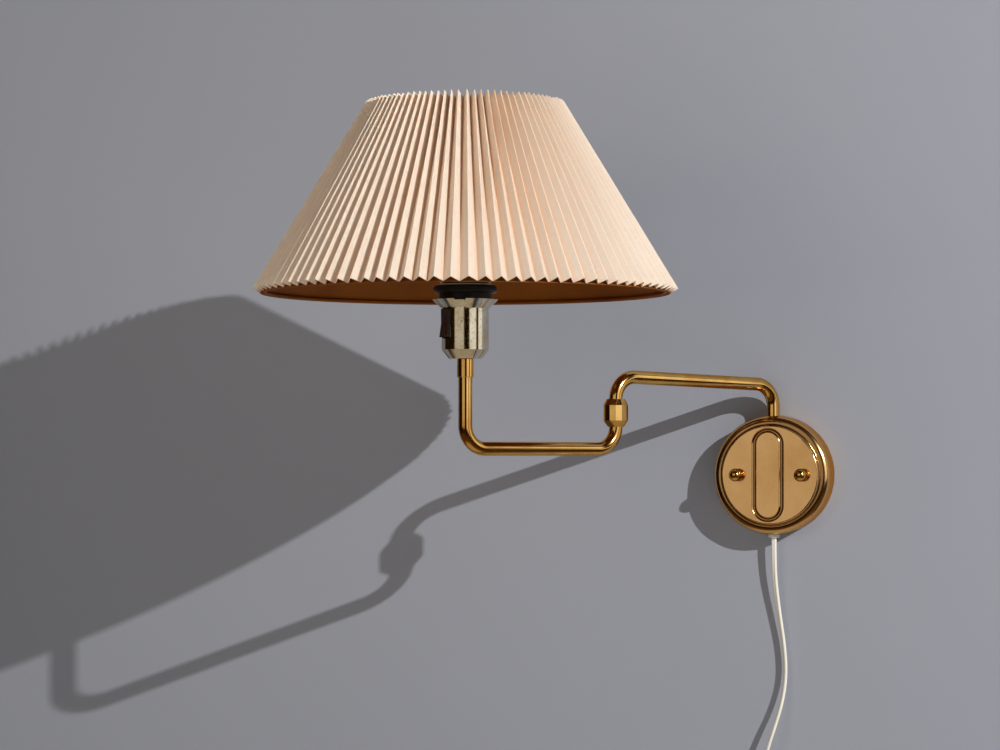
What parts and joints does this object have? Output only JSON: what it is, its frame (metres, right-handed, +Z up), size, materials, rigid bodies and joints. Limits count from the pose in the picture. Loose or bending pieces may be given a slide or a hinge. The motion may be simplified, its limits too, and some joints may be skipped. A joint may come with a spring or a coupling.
{
  "type": "articulated wall lamp",
  "caption": "Wall lamp with a round brass back plate, bent tube arms that swing at the wall and at an elbow, a rocker-switch lamp holder and a pleated cone shade; cord and plug.",
  "frame": {"origin": "centre of the wall plate's back, on the wall", "axes": "+Y into the wall, the lamp stands out towards -Y, +X to the right seen from the room, +Z up"},
  "size_m": [0.4549, 0.468, 0.789],
  "materials": {
    "brass_polished": "polished, lightly tarnished",
    "brass_plate": "brushed and lacquered, dulled with age",
    "brass_inner": "plain turned",
    "nickel": "worn nickel plate",
    "bakelite_black": "moulded, satin",
    "bakelite_brown": "moulded, worn gloss",
    "zinc_steel": "zinc plated",
    "fibre": "vulcanised fibre",
    "white_plastic": "moulded, satin",
    "plug_nickel": "nickel plate",
    "cord_white": "smooth flex, slightly yellowed",
    "tie_black": "plain",
    "shade_fabric": "pleated linen",
    "shade_lining": "smooth styrene-backed lining, yellowed",
    "wire_white": "white dip coat",
    "bulb_glass": "opal glass",
    "bulb_cap": "plain"
  },
  "bodies": {
    "wall": {"wall_bracket": "zinc_steel", "cover_studs": "zinc_steel", "wall_cover": "brass_plate", "cover_nuts": "brass_polished", "arm_bearing": "zinc_steel", "terminal_block": "white_plastic", "terminal_screws": "zinc_steel", "cord_clamp": "white_plastic", "clamp_screws": "zinc_steel", "cord_grommet": "white_plastic", "cord_tail": "cord_white", "cord": "cord_white", "cord_coil": "cord_white", "cord_end": "cord_white", "cord_tie": "tie_black", "plug_body": "white_plastic", "plug_pins": "plug_nickel"},
    "inner_arm": {"inner_arm_tube": "brass_polished", "inner_lead": "cord_white", "arm_washer": "fibre", "arm_collar": "zinc_steel", "arm_retainer": "zinc_steel", "hinge_barrel": "brass_polished", "hinge_bush": "brass_inner", "hinge_washers": "fibre"},
    "outer_arm": {"outer_arm_tube": "brass_polished", "outer_lead": "cord_white", "hinge_flange": "brass_inner", "riser_ferrule": "brass_polished", "holder_nipple": "zinc_steel", "nipple_nut": "zinc_steel", "holder_dome": "nickel", "holder_shell": "nickel", "holder_skirt": "nickel", "socket_body": "bakelite_black", "screw_shell": "brass_inner", "centre_contact": "brass_inner", "rocker_pin": "zinc_steel", "shade_ring_lower": "bakelite_black", "shade_ring_upper": "bakelite_black", "shade_frame": "wire_white", "shade_bottom_ring": "shade_lining", "shade_lining": "shade_lining", "shade_pleats": "shade_fabric", "bulb_cap": "bulb_cap", "bulb_glass": "bulb_glass"},
    "rocker": {"switch_rocker": "bakelite_brown"}
  },
  "joints": [
    {"name": "arm_swing", "type": "hinge", "parent": "wall", "child": "inner_arm", "pos_m": [0, -0.012, 0.028], "axis": [0, 0, 1], "range_deg": [-43, 117]},
    {"name": "elbow_swing", "type": "hinge", "parent": "inner_arm", "child": "outer_arm", "pos_m": [-0.10833, -0.15575, 0.0564], "axis": [0, 0, 1], "range_deg": [-150, 150]},
    {"name": "switch_rock", "type": "hinge", "parent": "outer_arm", "child": "rocker", "pos_m": [-0.21394, -0.29591, 0.13215], "axis": [0.7986, -0.6018, 0], "range_deg": [0, 8]}
  ]
}
